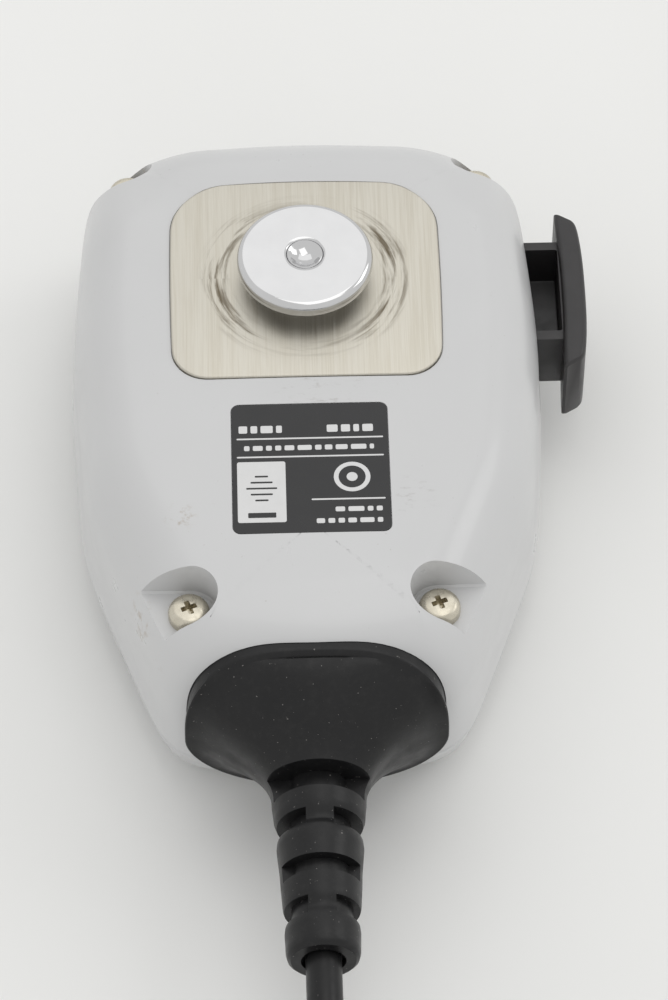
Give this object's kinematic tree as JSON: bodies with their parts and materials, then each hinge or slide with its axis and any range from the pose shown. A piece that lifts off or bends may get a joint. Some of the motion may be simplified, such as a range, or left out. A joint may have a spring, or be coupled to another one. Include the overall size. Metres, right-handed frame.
{
  "type": "hand microphone",
  "caption": "Palm-sized two-way radio hand microphone with a side push-to-talk bar, front keys, a metal hang-up button on its back and a curly cord ending in a modular plug",
  "frame": {"origin": "on the flat front face, on the plane of symmetry, half way along the casing", "axes": "+Z out of the back with the hang-up button, +Y towards the end away from the cord, +X towards the push-to-talk bar"},
  "size_m": [0.0742, 0.3189, 0.0395],
  "materials": {
    "casing": "satin moulded ABS, light grey",
    "black_plastic": "fine satin",
    "black_rubber": "satin rubber",
    "cord_sheath": "satin rubber",
    "brushed_plate": "brushed along the length",
    "chromed": "bright plating",
    "nickel_screw": "nickel plated",
    "zinc_steel": "zinc plated",
    "brass": "turned",
    "gold": "plated contacts",
    "label_film": "printed film",
    "board": "solder resist",
    "silicone": "translucent grey silicone",
    "felt": "black felt",
    "clear_plastic": "clear polycarbonate",
    "core_insulation": "coloured insulation"
  },
  "bodies": {
    "shell": {"rear_casing": "casing", "front_casing": "casing", "hanger_plate": "brushed_plate", "hanger_disc": "chromed", "hanger_stud": "chromed", "stud_washer": "zinc_steel", "hook_lug": "brass", "stud_nut": "zinc_steel", "hook_wire": "core_insulation", "rating_label": "label_film", "lower_casing_screws": "nickel_screw", "upper_casing_screws": "nickel_screw", "screw_inserts": "brass", "ptt_pivot_pin": "zinc_steel", "ptt_spring": "zinc_steel", "ptt_switch": "black_plastic", "keypad_mat": "silicone", "circuit_board": "board", "board_screws": "zinc_steel", "dust_screen": "felt", "capsule_holder": "black_rubber", "mic_capsule": "zinc_steel", "cord_connector": "black_plastic", "cord_clamp": "zinc_steel", "clamp_screws": "zinc_steel", "cord_end": "cord_sheath", "cord_cores": "core_insulation", "cord_boot": "black_rubber", "cord_lead": "cord_sheath", "cord_curl": "cord_sheath", "cord_tail": "cord_sheath", "cord_plug": "clear_plastic", "plug_contacts": "gold", "plug_boot": "black_rubber"},
    "ptt": {"ptt_lever": "black_plastic"},
    "plunger": {"ptt_plunger": "black_plastic"},
    "up": {"up_key": "black_rubber"},
    "function": {"function_key": "black_rubber"},
    "down": {"down_key": "black_rubber"}
  },
  "joints": [
    {"name": "talk_press", "type": "hinge", "parent": "shell", "child": "ptt", "pos_m": [0.029, 0.032, 0.017], "axis": [0, 0, -1], "range_deg": [0, 6], "stiffness_Nm_per_rad": 0.25, "springref_deg": -14.32, "deforming": ["ptt_spring"]},
    {"name": "plunger_press", "type": "slide", "parent": "shell", "child": "plunger", "axis": [-1, 0, 0], "range_m": [0, 0.0016]},
    {"name": "up_press", "type": "slide", "parent": "shell", "child": "up", "axis": [0, 0, 1], "range_m": [0, 0.0008], "stiffness_N_per_m": 900, "springref_m": -0.0006, "deforming": ["keypad_mat"]},
    {"name": "function_press", "type": "slide", "parent": "shell", "child": "function", "axis": [0, 0, 1], "range_m": [0, 0.0008], "stiffness_N_per_m": 900, "springref_m": -0.0006, "deforming": ["keypad_mat"]},
    {"name": "down_press", "type": "slide", "parent": "shell", "child": "down", "axis": [0, 0, 1], "range_m": [0, 0.0008], "stiffness_N_per_m": 900, "springref_m": -0.0006, "deforming": ["keypad_mat"]}
  ],
  "couplings": [
    {"joint": "plunger_press", "follows": "talk_press", "m_per_rad": 0.014801}
  ]
}
